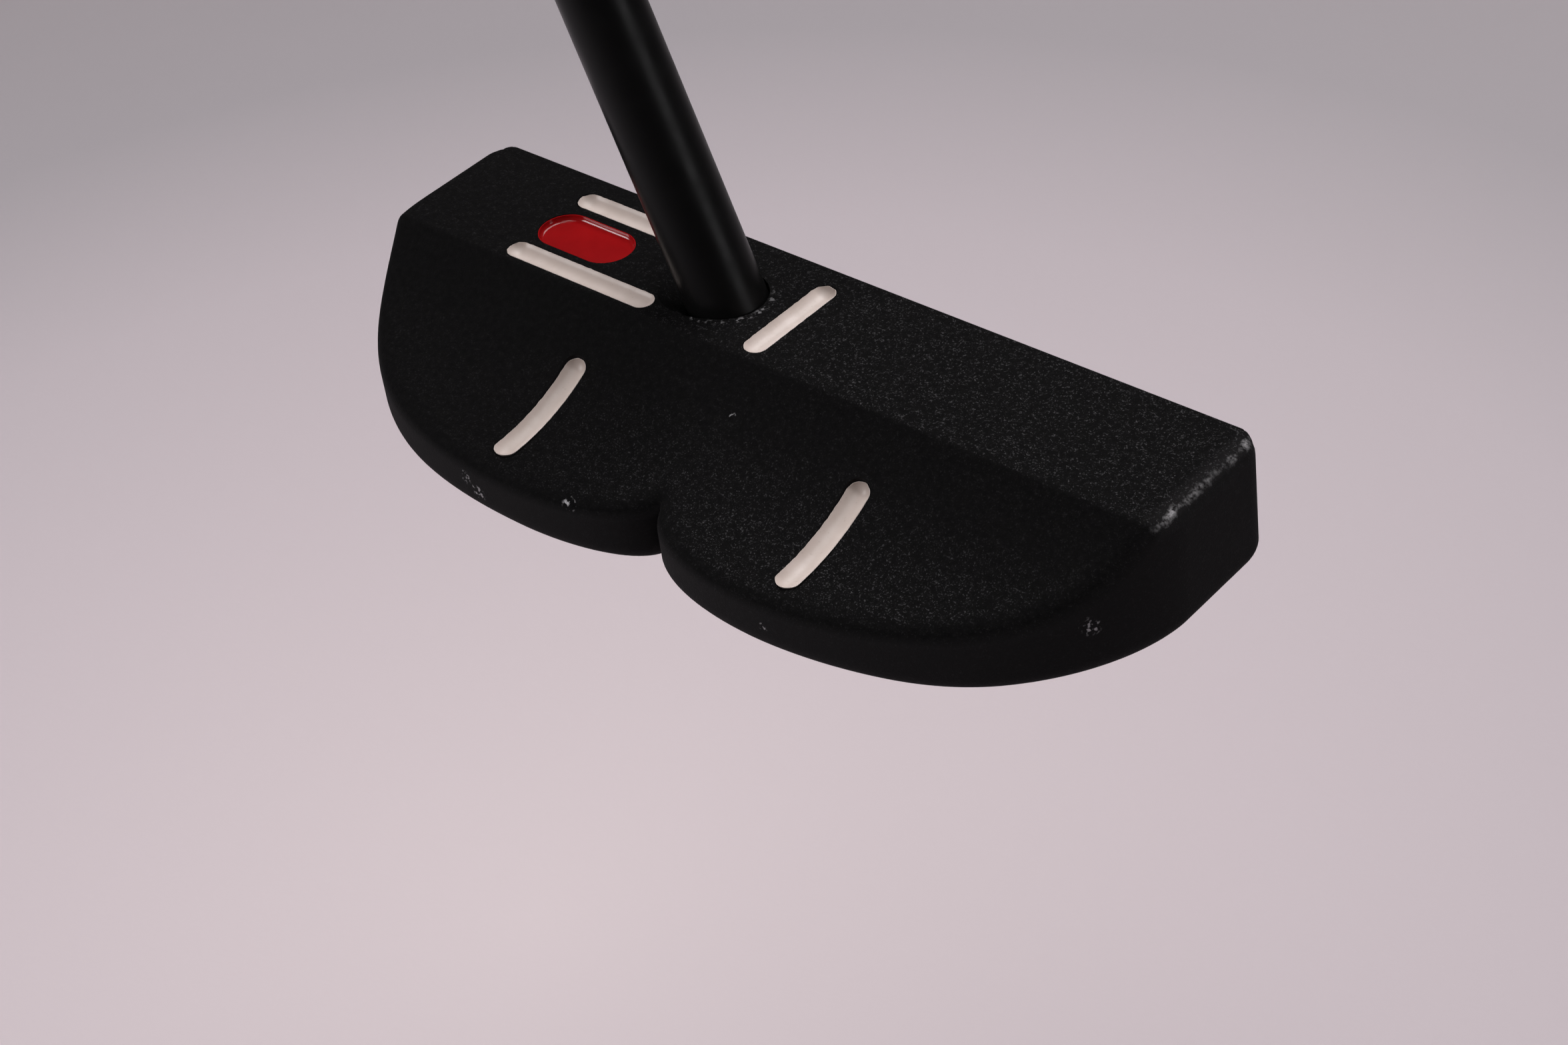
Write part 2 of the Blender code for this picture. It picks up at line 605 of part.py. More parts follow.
# Shaft, glued into the head
sole_to_top = HEAD_HEIGHT / math.sin(LIE)
club_top = CLUB_LENGTH - sole_to_top
shaft_top = club_top - CAP_THICKNESS - FINE_GAP
tip = -BORE_DEPTH + 2 * GAP
stations = [shaft_top, TAPER_END, TAPER_START, tip]
outer_side = [(shaft_radius(s), s) for s in stations]
inner_side = [(shaft_radius(s) - SHAFT_WALL, s) for s in reversed(stations)]
shaft = turned("shaft", outer_side + inner_side, BLACK_SHAFT, closed=True)
glue_in = TIP_RADIUS + FINE_GAP
glue_out = BORE_RADIUS - FINE_GAP
glue_top = -END_ROOM - glue_out / math.tan(LIE)
glue_profile = [(glue_out, glue_top), (glue_out, tip), (glue_in, tip), (glue_in, glue_top)]
glue = turned("shaft_epoxy", glue_profile, ADHESIVE, closed=True)
plug_radius = TIP_RADIUS - SHAFT_WALL - FINE_GAP
plug_top = tip + PLUG_LENGTH
plug_profile = [
    (0, plug_top),
    (plug_radius - PLUG_CHAMFER, plug_top),
    (plug_radius, plug_top - PLUG_CHAMFER),
    (plug_radius, tip + PLUG_CHAMFER),
    (plug_radius - PLUG_CHAMFER, tip),
    (0, tip),
]
plug = turned("shaft_tip_plug", plug_profile, RUBBER)
along_shaft(shaft, glue, plug)

# Grip over its tape, closed by a vented cap
grip_bottom = club_top - GRIP_LENGTH
grip = from_bmesh("grip", grip_blank(grip_bottom, club_top), RUBBER)
grip_bore_radius = BUTT_RADIUS + TAPE_THICKNESS + 2 * FINE_GAP
cap_low = club_top - CAP_THICKNESS
grip_bore_profile = [
    (0, club_top + CUT),
    (CAP_RADIUS + FINE_GAP, club_top + CUT),
    (CAP_RADIUS + FINE_GAP, cap_low - FINE_GAP),
    (grip_bore_radius, cap_low - FINE_GAP),
    (grip_bore_radius, TAPER_END),
    (shaft_radius(grip_bottom) + TAPE_THICKNESS + 2 * FINE_GAP, grip_bottom - CUT),
    (0, grip_bottom - CUT),
]
grip_bore = turned("grip_bore", grip_bore_profile)
cut(grip, grip_bore)
tape_stations = [shaft_top, TAPER_END, grip_bottom + TAPE_SETBACK]
tape_inside = [(shaft_radius(s) + FINE_GAP, s) for s in tape_stations]
tape_outside = [(radius + TAPE_THICKNESS, s) for radius, s in tape_inside]
tape = turned("grip_tape", tape_outside + tape_inside[::-1], TAPE, closed=True)
cap_profile = [
    (CAP_RADIUS - CAP_CHAMFER, club_top),
    (CAP_RADIUS, club_top - CAP_CHAMFER),
    (CAP_RADIUS, cap_low),
    (VENT_RADIUS, cap_low),
    (VENT_RADIUS, club_top),
]
cap = turned("grip_cap", cap_profile, CAP_PLASTIC, closed=True)
along_shaft(grip, grip_bore, tape, cap)
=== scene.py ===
import math

import bmesh
import bpy
from mathutils import Matrix, Vector, noise


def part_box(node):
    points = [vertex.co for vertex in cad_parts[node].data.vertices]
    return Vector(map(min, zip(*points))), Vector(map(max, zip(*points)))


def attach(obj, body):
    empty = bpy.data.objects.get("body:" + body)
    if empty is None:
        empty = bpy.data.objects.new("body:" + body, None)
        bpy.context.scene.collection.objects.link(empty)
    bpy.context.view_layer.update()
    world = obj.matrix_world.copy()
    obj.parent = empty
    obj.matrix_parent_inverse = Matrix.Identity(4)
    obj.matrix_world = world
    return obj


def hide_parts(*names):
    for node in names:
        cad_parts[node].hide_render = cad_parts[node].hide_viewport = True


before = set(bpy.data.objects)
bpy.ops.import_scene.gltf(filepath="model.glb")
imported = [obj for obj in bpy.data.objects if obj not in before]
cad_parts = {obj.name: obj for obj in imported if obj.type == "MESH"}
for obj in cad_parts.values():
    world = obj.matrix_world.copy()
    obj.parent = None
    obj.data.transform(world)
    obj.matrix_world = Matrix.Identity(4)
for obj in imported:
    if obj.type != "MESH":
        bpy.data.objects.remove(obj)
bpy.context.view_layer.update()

# ------------------------------------------------------------------ sizes of the head, in metres

# X runs from heel to toe and Z up; Y runs forward, and V is the same way, from the face's top edge
HEAD_LOW, HEAD_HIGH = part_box("head_body")
PLATE_LOW, PLATE_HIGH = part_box("sole_plate")
HALF_LENGTH = HEAD_HIGH.x
TOP = HEAD_HIGH.z
HEAD_DEPTH = 0.0413
FACE_Y = HEAD_LOW.y + HEAD_DEPTH
LOFT = math.radians(3.5)
BAND_DEPTH = 0.0187
CORNER_RADIUS = 0.0031
LOBE_X = 0.0175
LOBE_START = 0.0142
TOE_FULLNESS = 1.8
HEEL_FULLNESS = 2.15
NOTCH_RISE = 0.0080
NOTCH_WIDTH = 0.01775
SCOOP_RADIUS = 0.0258
SCOOP_FLOOR = 0.0099
RISE = SCOOP_RADIUS - SCOOP_FLOOR
SCOOP_V = -BAND_DEPTH - math.sqrt(SCOOP_RADIUS ** 2 - RISE ** 2)

# Edges, and how the sole curves up
FACE_EDGE_RADIUS = 0.0006
END_EDGE_RADIUS = 0.0020
RIM_RADIUS = 0.0024
BAND_EDGE_RADIUS = 0.0009
RIM_BLEND = 0.006
SOLE_EDGE_RADIUS = 0.0029
SOLE_FLAT = 0.034
SOLE_CAMBER = 0.0024
REAR_FLAT = -0.031
REAR_CAMBER = 0.0014

# How finely the head is cut before it is bent to shape
LOBE_STEPS = 56
NOTCH_STEPS = 20
CORNER_STEPS = 12
RIM_STEPS = 12
SCOOP_STEPS = 44
BAND_EDGE_STEPS = 10
CAMBER_STEPS = 16
ROUND_STEPS = 64

# Recess of the plate, seats of the weights
RECESS_GAP = 0.0002
RECESS_CORNER = 0.0062
WEIGHT_X = 0.0440
WEIGHT_V = -0.0150
SEAT_RADIUS = 0.0072
SEAT_TOP = 0.0035
SEAT_BOTTOM = -0.003
RECESS_BOTTOM = -0.002

# Painted lines: slots of a ball cutter, each with a thin coat of paint
LINE_WIDTH = 0.0033
LINE_DEPTH = 0.0011
FRONT_LINE_V = -0.00455
REAR_LINE_V = -0.0166
LINE_ENDS = (-0.0386, -0.0153)
AIM_LINE_ENDS = (-0.0180, -0.0028)
LOBE_LINE_X = 0.02107
LOBE_LINE_ENDS = (-0.0388, -0.0238)
LOBE_SLOT_TILT = 0.00035
BALL_SEGMENTS = 48
BALL_RINGS = 25
FLAT_STATIONS = 90
LOBE_STATIONS = 60
PAINT_COAT = 0.00012
PAINT_WALL = 0.00006
PAINT_SINK = 0.00003
PAINT_WANDER = 0.00006
WANDER_SHARE = 0.012
WANDER_SCALE = 1400
BARE_END = 0.0002

# The red dot: a pocket, and a coat that dips inside its rim
DOT_CENTRE = (-0.0315, -0.01065 + FACE_Y)
DOT_LENGTH = 0.0136
DOT_WIDTH = 0.0069
DOT_DEPTH = 0.0010
POCKET_ABOVE = 0.002
DOT_GAP = 0.0001
DOT_SINK = 0.00008
DOT_RIM = 0.00012
DOT_DIP = 0.0007
DOT_DIP_WIDTH = 0.00045
DOT_DIP_STEPS = 6

# ------------------------------------------------------------------ sizes of the shaft and grip

LIE = math.radians(70)
SHAFT_X = -0.0097
SHAFT_V = -0.0106
CLUB_LENGTH = 34 * 0.0254
CLUB_TOP = CLUB_LENGTH - TOP / math.sin(LIE)
TIP_RADIUS = 0.00472
BUTT_RADIUS = 0.0076
SHAFT_WALL = 0.0005
TAPER_START = 0.230
TAPER_END = 0.600
TAPER_STEPS = 12
SHAFT_TOP = CLUB_TOP - 0.0035
SHAFT_TIP = -0.0145
SHAFT_SEGMENTS = 96
BORE_RADIUS = TIP_RADIUS + 0.0003
BORE_BOTTOM = -0.015
BORE_FLARE_START = -0.0005
BORE_FLARE = 0.006
MERGE = 0.0000001

GRIP_LENGTH = 0.267
CAP_GAP = 0.0002
GRIP_RINGS = 300
GRIP_SEGMENTS = 96
GRIP_EDGE_RADIUS = 0.0012
WRAP_PITCH = 0.0125
SEAM_DEPTH = 0.00045
SEAM_WIDTH = 0.0007
SEAM_START = 0.006
SEAM_FADE = 0.004
COLLAR_DEPTH = 0.0006
COLLAR_PLACE = 0.004
COLLAR_WIDTH = 0.0012

# ------------------------------------------------------------------ wear of the coat

# How far in from the toe's top edge the bare line lies, and how far it reaches
RUB_INSET = 0.0011
RUB_DROP = 0.0003
RUB_RAGGEDNESS = 0.0024
RUB_EDGE = (-0.0002, 0.0006)
HAZE_RAGGEDNESS = 0.0012
HAZE_EDGE = (0.0003, 0.0020)
RING_RAGGEDNESS = 0.0009
RING_EDGE = (0.0001, 0.0005)
SPOT_SCALE = 900
SPOT_RAGGEDNESS = 0.0010

# Places and sizes of the knocks
SCUFFS = [
    ((-0.0246, -0.0210, TOP - 0.0128), 0.0011),
    ((-0.0226, -0.0211, TOP - 0.0140), 0.0012),
    ((-0.0090, -0.0197, TOP - 0.0107), 0.0010),
    ((0.0518, -0.0053, TOP - 0.0100), 0.0013),
    ((0.0204, -0.0212, TOP - 0.0136), 0.0006),
    ((0.0018, -0.0033, TOP - 0.0046), 0.0005),
]

# ------------------------------------------------------------------ camera, floor and light

CAMERA_AZIMUTH = 45.31
CAMERA_ELEVATION = 38.61
CAMERA_ROLL = -7.82
CAMERA_DISTANCE = 0.310
CAMERA_AIM = Vector((0.02305, -0.01855, TOP))
LENS = 69.17
FLOOR_DROP = 0.22
FLOOR_SIZE = 12
# Painted light on the floor: a pool of light, palest at its centre and greyer out towards its reach and
# beyond
LIGHT_POOL_CENTRE = (-0.15, 0.07)
LIGHT_POOL_REACH = 0.50
LIGHT_POOL_SHADES = [
    (0.00, (0.70, 0.61, 0.63)),
    (0.30, (0.60, 0.525, 0.555)),
    (0.50, (0.53, 0.47, 0.50)),
    (0.70, (0.395, 0.363, 0.385)),
    (0.90, (0.385, 0.35, 0.37)),
]


def direction(azimuth, elevation):
    """Towards a viewer who stands at that azimuth and elevation, in degrees."""
    a, e = math.radians(azimuth), math.radians(elevation)
    return Vector((math.sin(a) * math.cos(e), -math.cos(a) * math.cos(e), math.sin(e)))


def make_camera():
    camera = bpy.data.objects.new("camera", bpy.data.cameras.new("camera"))
    bpy.context.scene.collection.objects.link(camera)
    camera.data.lens = LENS
    camera.data.sensor_width = 36
    camera.data.clip_start = 0.01
    back = direction(CAMERA_AZIMUTH, CAMERA_ELEVATION)
    roll = Matrix.Rotation(math.radians(CAMERA_ROLL), 4, "Z")
    turn = back.to_track_quat("Z", "Y").to_matrix().to_4x4() @ roll
    camera.matrix_world = Matrix.Translation(CAMERA_AIM + back * CAMERA_DISTANCE) @ turn
    bpy.context.scene.camera = camera


def softbox(name, azimuth, elevation, distance, size, power, colour):
    """A square area light, looking at the head from that azimuth and elevation, in degrees."""
    light = bpy.data.lights.new(name, "AREA")
    light.shape = "SQUARE"
    light.size = size
    light.energy = power
    light.color = colour
    lamp = bpy.data.objects.new(name, light)
    bpy.context.scene.collection.objects.link(lamp)
    away = direction(azimuth, elevation)
    lamp.location = away * distance
    lamp.rotation_mode = "QUATERNION"
    lamp.rotation_quaternion = away.to_track_quat("Z", "Y")


# ------------------------------------------------------------------ materials

class Wire:
    """A socket that takes part in arithmetic: each operator adds a Math node."""

    def __init__(self, recipe, socket):
        self.recipe = recipe
        self.socket = socket

    def work_out(self, operation, first, second):
        return self.recipe.node("Math", {"operation": operation}, {0: first, 1: second})

    def __add__(self, other):
        return self.work_out("ADD", self, other)

    __radd__ = __add__

    def __sub__(self, other):
        return self.work_out("SUBTRACT", self, other)

    def __rsub__(self, other):
        return self.work_out("SUBTRACT", other, self)

    def __mul__(self, other):
        return self.work_out("MULTIPLY", self, other)

    __rmul__ = __mul__

    def at_least(self, other):
        return self.work_out("MAXIMUM", self, other)


class Recipe:
    """The node tree of a material or of the world."""

    def __init__(self, owner):
        owner.use_nodes = True
        self.owner = owner
        self.tree = owner.node_tree

    def node(self, kind, settings=None, inputs=None, output=0):
        """Any shader node: its settings first, then the values or links of its sockets."""
        made = self.tree.nodes.new("ShaderNode" + kind)
        for name, value in (settings or {}).items():
            if name == "stops":
                self.set_stops(made.color_ramp, value)
            else:
                setattr(made, name, value)
        for name, value in (inputs or {}).items():
            self.feed(made.inputs[name], value)
        return Wire(self, made.outputs[output])

    def feed(self, socket, value):
        if isinstance(value, Wire):
            self.tree.links.new(value.socket, socket)
        elif isinstance(value, tuple) and len(value) == 3 and socket.type == "RGBA":
            socket.default_value = (*value, 1)
        else:
            socket.default_value = value

    def set_stops(self, ramp, stops):
        while len(ramp.elements) < len(stops):
            ramp.elements.new(0.5)
        for element, (position, colour) in zip(ramp.elements, stops):
            element.position = position
            element.color = (*colour, 1)

    def place(self):
        return self.node("TexCoord", output="Object")

    def noise(self, scale, detail=2, roughness=0.5, place=None):
        inputs = {"Vector": place or self.place(), "Scale": scale}
        inputs.update({"Detail": detail, "Roughness": roughness})
        return self.node("TexNoise", {}, inputs)

    def strokes(self, scales, detail):
        """Noise with a scale of its own along each axis."""
        place = self.node("Mapping", {}, {"Vector": self.place(), "Scale": scales})
        return self.noise(1, detail=detail, place=place)

    def spread(self, value, low, high, to_low=0.0, to_high=1.0):
        """Stretch a value's range onto another one, clamped."""
        return self.node("MapRange", {}, {0: value, 1: low, 2: high, 3: to_low, 4: to_high})

    def mix(self, share, first, second):
        """Blend two colours."""
        return self.node("Mix", {"data_type": "RGBA"}, {0: share, 6: first, 7: second}, output=2)

    def between(self, share, first, second):
        """Blend two numbers."""
        return self.node("Mix", {"data_type": "FLOAT"}, {0: share, 2: first, 3: second})

    def parts(self, vector):
        """The three numbers of a vector."""
        first = self.node("SeparateXYZ", {}, {0: vector})
        return [Wire(self, socket) for socket in first.socket.node.outputs]

    def facing(self):
        """How much the surface faces along X, Y and Z."""
        return self.parts(self.node("NewGeometry", output="Normal"))

    def length(self, *sides):
        """The length of a vector from its one, two or three numbers."""
        vector = self.node("CombineXYZ", {}, dict(enumerate(sides)))
        return self.node("VectorMath", {"operation": "LENGTH"}, {0: vector}, output="Value")

    def spot(self, centre, reach):
        """1 inside a ragged ball around a point, fading to 0 at its reach."""
        ends = {0: self.place(), 1: centre}
        away = self.node("VectorMath", {"operation": "DISTANCE"}, ends, output="Value")
        away = away + (self.noise(SPOT_SCALE) - 0.5) * SPOT_RAGGEDNESS
        return self.spread(away, reach * 0.5, reach, 1, 0)

    def bump(self, height, distance, strength):
        return self.node("Bump", {}, {"Height": height, "Distance": distance, "Strength": strength})

    def surface(self, **values):
        """Feed the Principled shader, names with underscores for spaces."""
        shader = self.tree.nodes["Principled BSDF"]
        for name, value in values.items():
            self.feed(shader.inputs[name.replace("_", " ")], value)
        return self.owner


def recipe(name):
    return Recipe(bpy.data.materials.new(name))


def toe_wear(r, x, y, z, patchy):
    """Bare steel along the band's top edge at the toe, and the dull haze beside it."""
    from_edge = r.length(x - (HALF_LENGTH - RUB_INSET), z - (TOP - RUB_DROP))
    band_rear = FACE_Y - BAND_DEPTH
    on_band = r.spread(y, band_rear - 0.0002, band_rear + 0.0012)
    rub = r.spread(from_edge + patchy * RUB_RAGGEDNESS, *RUB_EDGE, 1, 0) * on_band
    from_middle = r.length(y - (FACE_Y - BAND_DEPTH / 2))
    rub = rub * r.spread(from_middle, 0.0030, 0.0085, 0.45, 1.0)
    haze = r.spread(from_edge + patchy * HAZE_RAGGEDNESS, *HAZE_EDGE, 1, 0) * on_band
    return rub, haze


def bore_wear(r, x, y, z, patchy):
    """A chipped ring round the shaft's bore, on the side towards the rear and the toe."""
    from_axis = r.length((x - SHAFT_X) * math.sin(LIE), y - (SHAFT_V + FACE_Y))
    from_ring = r.length(from_axis - (BORE_RADIUS + 0.0005))
    ring = r.spread(from_ring + patchy * RING_RAGGEDNESS, *RING_EDGE, 1, 0)
    near_top = r.spread(z, TOP - 0.0012, TOP - 0.0004)
    to_rear_toe = r.spread(x - y, SHAFT_X - 0.0100, SHAFT_X - 0.0040)
    return ring * near_top * to_rear_toe


def coated_steel():
    """Matt black baked on blasted steel: a dark, fine grain with small glints, bare where it has rubbed."""
    r = recipe("coated_steel")
    x, y, z = r.parts(r.place())
    upward = r.facing()[2]
    grain = r.noise(4600, detail=2, roughness=0.7)
    lumps = r.noise(1500, detail=2)
    patchy = r.noise(480, detail=4, roughness=0.62) - 0.5
    rub, haze = toe_wear(r, x, y, z, patchy)
    knocks = bore_wear(r, x, y, z, patchy) * 0.45
    for centre, reach in SCUFFS:
        knocks = knocks.at_least(r.spot(centre, reach))
    flecks = r.spread(r.noise(1900, detail=2), 0.54, 0.62)
    patches = r.spread(r.noise(2300, detail=3), 0.36, 0.58)
    bare = (rub * patches).at_least(knocks * flecks)
    flakes = r.spread(grain + lumps * 0.25, 0.70, 0.86)
    flakes = flakes * r.spread(x, -0.030, 0.010, 0.25, 1.0)
    flakes = flakes * r.spread(upward, 0.80, 0.98, 0.2, 1.0)
    # Painted light: walls and undersides are lightened to stand in for light bounced up from the floor, and
    # the toe's worn haze is added in
    painted_wall_light_and_haze = r.spread(upward, 0.15, 0.60, 0.7, 0.0) + haze * 0.5
    coat = r.mix(r.spread(lumps, 0.3, 0.7), (0.0022, 0.0021, 0.0022), (0.0038, 0.0036, 0.0037))
    coat = r.mix(painted_wall_light_and_haze, coat, (0.018, 0.0168, 0.0175))
    coat = r.mix(flakes, coat, (0.060, 0.058, 0.061))
    colour = r.mix(bare, coat, (0.34, 0.33, 0.34))
    return r.surface(
        Base_Color=colour,
        Roughness=r.between(bare, r.between(flakes, 0.80, 0.50), 0.45),
        Metallic=bare.at_least(flakes),
        Normal=r.bump(grain + lumps * 0.5, 0.00008, 0.8),
        Specular_IOR_Level=0.05,
    )


def shaft_coat():
    """Smooth satin black."""
    r = recipe("shaft_coat")
    cloud = r.noise(45, detail=3)
    colour = r.mix(cloud, (0.0026, 0.0025, 0.0026), (0.0044, 0.0042, 0.0043))
    rough = r.spread(r.noise(300, detail=4), 0.3, 0.7, 0.30, 0.40)
    normal = r.bump(r.noise(900, detail=2), 0.00001, 0.4)
    return r.surface(Base_Color=colour, Roughness=rough, Normal=normal, Specular_IOR_Level=0.18)


def white_enamel():
    """Warm white paint, brushed in thick, with painted shade: darker and browner on the walls that face the
    rear.
    """
    r = recipe("white_enamel")
    forward = r.facing()[1]
    cloud = r.noise(420, detail=3)
    specks = r.spread(r.noise(2600, detail=1), 0.68, 0.74)
    colour = r.mix(r.spread(cloud, 0.3, 0.75), (0.63, 0.548, 0.508), (0.55, 0.470, 0.428))
    colour = r.mix(specks * 0.35, colour, (0.42, 0.36, 0.31))
    # Painted shade: slot walls that face the rear are darkened and browned, as if turned away from the
    # light
    colour = r.mix(r.spread(forward, -0.70, -0.05, 0.5, 0.0), colour, (0.26, 0.205, 0.175))
    rough = r.spread(cloud, 0.3, 0.7, 0.34, 0.48)
    normal = r.bump(r.noise(700, detail=2), 0.00008, 0.5)
    return r.surface(Base_Color=colour, Roughness=rough, Normal=normal, Specular_IOR_Level=0.4)


def red_enamel():
    """Deep red paint, glossy, a little uneven."""
    r = recipe("red_enamel")
    cloud = r.noise(300, detail=3)
    colour = r.mix(r.spread(cloud, 0.3, 0.7), (0.30, 0.0042, 0.0055), (0.26, 0.0034, 0.0046))
    rough = r.spread(r.noise(1500, detail=2), 0.3, 0.7, 0.10, 0.17)
    normal = r.bump(r.noise(500, detail=2), 0.00003, 0.4)
    return r.surface(Base_Color=colour, Roughness=rough, Normal=normal, Specular_IOR_Level=0.4)


def turned_steel():
    """Stainless steel with fine, level tool marks."""
    r = recipe("turned_steel")
    rings = r.strokes((900, 900, 9000), detail=2)
    colour = r.mix(rings, (0.42, 0.42, 0.43), (0.56, 0.56, 0.57))
    rough = r.spread(rings, 0.3, 0.7, 0.22, 0.38)
    return r.surface(Base_Color=colour, Roughness=rough, Metallic=1.0, Normal=r.bump(rings, 0.00003, 0.4))


def black_anodised():
    """Brushed along the plate, then anodised black."""
    r = recipe("black_anodised")
    strokes = r.strokes((120, 5200, 120), detail=3)
    colour = r.mix(strokes, (0.010, 0.010, 0.011), (0.026, 0.026, 0.028))
    rough = r.spread(strokes, 0.3, 0.7, 0.28, 0.42)
    return r.surface(Base_Color=colour, Roughness=rough, Metallic=0.7, Normal=r.bump(strokes, 0.00002, 0.5))


def moulded_rubber(name, shade, scale):
    """Matt rubber with a fine leathery texture."""
    r = recipe(name)
    cells = r.node("TexVoronoi", {}, {"Vector": r.place(), "Scale": scale}, output="Distance")
    cloud = r.noise(60, detail=3)
    colour = r.mix(cloud, (shade, shade, shade * 1.05), (shade * 1.8, shade * 1.8, shade * 1.85))
    rough = r.spread(cloud, 0.3, 0.7, 0.62, 0.78)
    return r.surface(Base_Color=colour, Roughness=rough, Normal=r.bump(cells, 0.00012, 0.7))


def glue():
    """Cured epoxy, dark and a little uneven."""
    r = recipe("glue")
    cloud = r.noise(1500, detail=3)
    colour = r.mix(cloud, (0.004, 0.004, 0.004), (0.010, 0.010, 0.010))
    return r.surface(Base_Color=colour, Roughness=0.4, Normal=r.bump(cloud, 0.00008, 0.6))


def paper_tape():
    """Cream crepe paper, its fibres running up the shaft."""
    r = recipe("paper_tape")
    fibres = r.strokes((900, 900, 180), detail=3)
    colour = r.mix(fibres, (0.58, 0.54, 0.43), (0.68, 0.64, 0.52))
    return r.surface(Base_Color=colour, Roughness=0.8, Normal=r.bump(fibres, 0.00005, 0.6))


def pale_floor():
    """Pale floor with a painted pool of light: palest out beyond the heel, greyer further away."""
    r = recipe("pale_floor")
    x, y = r.parts(r.place())[:2]
    away = r.length(x - LIGHT_POOL_CENTRE[0], y - LIGHT_POOL_CENTRE[1])
    # Painted light: the floor's colour fades from its brightest at the centre, as if lit there
    painted_light_pool = r.node("ValToRGB", {"stops": LIGHT_POOL_SHADES}, {0: away * (1 / LIGHT_POOL_REACH)})
    cloud = r.spread(r.noise(6, detail=3), 0.3, 0.7)
    colour = r.mix(cloud * 0.06, painted_light_pool, (0.55, 0.50, 0.53))
    return r.surface(Base_Color=colour, Roughness=0.8, Normal=r.bump(r.noise(900), 0.0001, 0.3))


def make_sky():
    """A dim room, darker overhead."""
    world = bpy.data.worlds.new("studio")
    bpy.context.scene.world = world
    sky = Recipe(world)
    up = sky.parts(sky.node("TexCoord", output="Generated"))[2]
    background = sky.tree.nodes["Background"]
    sky.feed(background.inputs["Color"], (1.0, 0.96, 0.98))
    sky.feed(background.inputs["Strength"], sky.spread(up, -0.05, 0.75, 0.06, 0.03))


# ------------------------------------------------------------------ making pieces

def arc(centre, radii, start, end, steps):
    """Points along an elliptical arc, angles in degrees."""
    angles = [math.radians(start + (end - start) * i / steps) for i in range(steps + 1)]
    return [(centre[0] + radii[0] * math.cos(a), centre[1] + radii[1] * math.sin(a)) for a in angles]


def everything(bm):
    return bm.verts[:] + bm.edges[:] + bm.faces[:]


def smooth(mesh, sharp):
    """Shade round, but crisp across edges sharper than that angle in degrees."""
    mesh.shade_smooth()
    mesh.set_sharp_from_angle(angle=math.radians(sharp))


def add_mesh(name, bm, material=None, sharp=32):
    """An object for a bmesh, with its place in its mesh."""
    bmesh.ops.recalc_face_normals(bm, faces=bm.faces)
    mesh = bpy.data.meshes.new(name)
    bm.to_mesh(mesh)
    bm.free()
    smooth(mesh, sharp)
    piece = bpy.data.objects.new(name, mesh)
    bpy.context.scene.collection.objects.link(piece)
    if material is not None:
        mesh.materials.append(material)
    return piece


def fit(piece, node):
    """A finished piece rides on the club and stands for its CAD node."""
    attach(piece, "root")
    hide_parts(node)


def apply_cuts(piece, cutters):
    """Cut one piece by others with Boolean modifiers, applied, then remove the cutters."""
    for cutter in cutters:
        boolean = piece.modifiers.new("cut", "BOOLEAN")
        boolean.operation = "DIFFERENCE"
        boolean.object = cutter
        graph = bpy.context.evaluated_depsgraph_get()
        mesh = bpy.data.meshes.new_from_object(piece.evaluated_get(graph))
        piece.modifiers.clear()
        piece.data = mesh
        bpy.data.objects.remove(cutter)


def spin_profile(profile, steps, matrix, closed=False):
    """Turn a profile of (radius, height) points about Z, then put it in its place."""
    bm = bmesh.new()
    verts = [bm.verts.new((radius, 0, height)) for radius, height in profile]
    edges = [bm.edges.new(pair) for pair in zip(verts, verts[1:])]
    if closed:
        edges.append(bm.edges.new((verts[-1], verts[0])))
    turn = {"cent": (0, 0, 0), "axis": (0, 0, 1), "angle": math.tau, "steps": steps, "use_merge": True}
    bmesh.ops.spin(bm, geom=verts + edges, **turn)
    bmesh.ops.remove_doubles(bm, verts=bm.verts, dist=MERGE)
    bmesh.ops.transform(bm, matrix=matrix, verts=bm.verts)
    return bm


def prism(outline, low, high):
    """A flat outline of (x, y) points between two heights."""
    bm = bmesh.new()
    face = bm.faces.new([bm.verts.new((x, y, low)) for x, y in outline])
    grown = bmesh.ops.extrude_face_region(bm, geom=[face], use_keep_orig=True)["geom"]
    raised = [item for item in grown if isinstance(item, bmesh.types.BMVert)]
    bmesh.ops.translate(bm, verts=raised, vec=(0, 0, high - low))
    return bm


def rounded_box(x_range, y_range, radius, steps=10):
    """A rectangle with round corners, anticlockwise."""
    corners = [
        (x_range[1] - radius, y_range[0] + radius, -90),
        (x_range[1] - radius, y_range[1] - radius, 0),
        (x_range[0] + radius, y_range[1] - radius, 90),
        (x_range[0] + radius, y_range[0] + radius, 180),
    ]
    points = []
    for x, y, start in corners:
        points += arc((x, y), (radius, radius), start, start + 90, steps)
    return points


def stadium(centre, length, width, steps=24):
    """A slot with full round ends, along X."""
    radius = width / 2
    reach = length / 2 - radius
    toe_end = arc((centre[0] + reach, centre[1]), (radius, radius), -90, 90, steps)
    heel_end = arc((centre[0] - reach, centre[1]), (radius, radius), 90, 270, steps)
    return toe_end + heel_end


# ------------------------------------------------------------------ head

